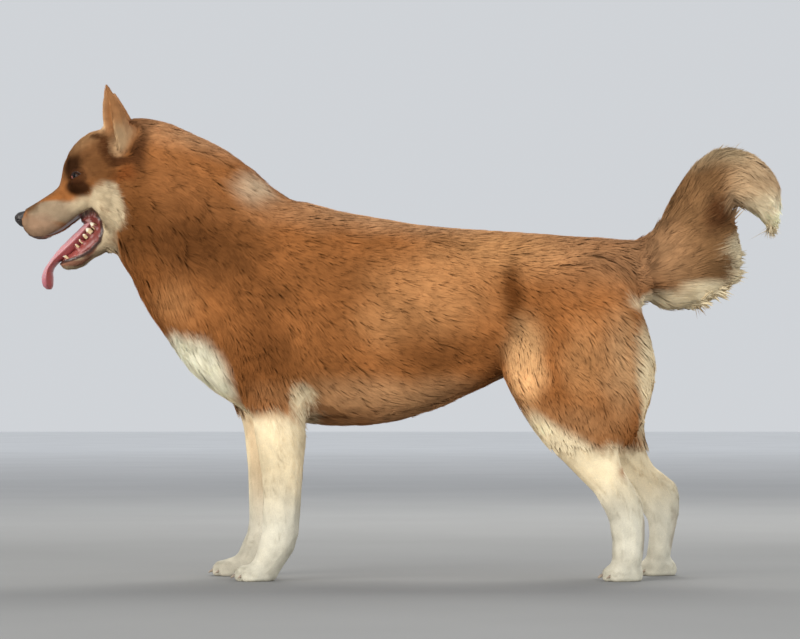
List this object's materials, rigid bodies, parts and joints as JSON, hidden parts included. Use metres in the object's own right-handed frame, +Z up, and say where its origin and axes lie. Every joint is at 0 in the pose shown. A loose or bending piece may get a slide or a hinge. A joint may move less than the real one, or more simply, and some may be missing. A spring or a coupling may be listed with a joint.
{
  "type": "standing alaskan malamute dog",
  "caption": "Life-size standing spitz-type sled dog with a thick red and cream coat, upright ears, an open mouth with the tongue out and a plumed tail curled over the back.",
  "frame": {"origin": "on the floor under the middle of the dog's bounding box", "axes": "the dog faces -X, its left side is at -Y, and +Z is up from the floor that it stands on"},
  "size_m": [1.3384, 0.2916, 0.857],
  "materials": {
    "coat": "thick double coat, red-brown above and cream below",
    "nose": "moist pebbled nose leather",
    "tongue": "wet pink tongue",
    "eye": "dark brown eye with a clear wet surface",
    "claw": "pale horn"
  },
  "bodies": {
    "root": {"head": "coat", "lower_jaw": "coat", "neck": "coat", "trunk": "coat", "tail_base": "coat", "tail_plume": "coat", "nose": "nose", "tongue": "tongue", "left_ear": "coat", "left_eye": "eye", "left_foreleg": "coat", "left_forepaw": "coat", "left_hind_thigh": "coat", "left_hind_shank": "coat", "left_hind_paw": "coat", "left_fore_claw_1": "claw", "left_fore_claw_2": "claw", "left_fore_claw_3": "claw", "left_fore_claw_4": "claw", "left_hind_claw_1": "claw", "left_hind_claw_2": "claw", "left_hind_claw_3": "claw", "left_hind_claw_4": "claw", "right_ear": "coat", "right_eye": "eye", "right_foreleg": "coat", "right_forepaw": "coat", "right_hind_thigh": "coat", "right_hind_shank": "coat", "right_hind_paw": "coat", "right_fore_claw_1": "claw", "right_fore_claw_2": "claw", "right_fore_claw_3": "claw", "right_fore_claw_4": "claw", "right_hind_claw_1": "claw", "right_hind_claw_2": "claw", "right_hind_claw_3": "claw", "right_hind_claw_4": "claw"}
  },
  "joints": []
}
